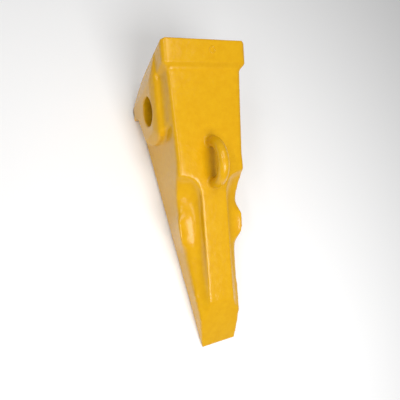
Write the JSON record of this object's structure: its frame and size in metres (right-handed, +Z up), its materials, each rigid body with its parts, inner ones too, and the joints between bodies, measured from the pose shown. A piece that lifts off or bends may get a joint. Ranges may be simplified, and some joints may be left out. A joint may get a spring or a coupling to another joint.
{
  "type": "excavator bucket tooth",
  "caption": "Cast steel bucket tooth with a collared socket, pin cheeks, a lifting eye, fluted nose with chisel bevel, and its cross lock pin with split ring and rubber bush.",
  "frame": {"origin": "centre of the lock pin's axis, on the tooth's centre plane", "axes": "+X along the lock pin, +Y from the cutting edge to the socket's mouth, +Z up out of the face that carries the lifting eye; the underside lies level"},
  "size_m": [0.125, 0.3795, 0.1514],
  "materials": {
    "enamelled_casting": "semi-gloss yellow enamel over a shot-blasted casting",
    "enamelled_bar": "semi-gloss yellow enamel",
    "pin_steel": "ground and oiled",
    "spring_steel": "dark tempered wire",
    "bush_rubber": "moulded matt"
  },
  "bodies": {
    "tooth": {"tooth_casting": "enamelled_casting", "lifting_eye": "enamelled_bar", "retainer_ring": "spring_steel", "retainer_rubber": "bush_rubber"},
    "pin": {"lock_pin": "pin_steel"}
  },
  "joints": [
    {"name": "pin_slide", "type": "slide", "parent": "tooth", "child": "pin", "axis": [-1, 0, 0], "range_m": [0, 0.12], "deforming": ["retainer_ring"]}
  ]
}
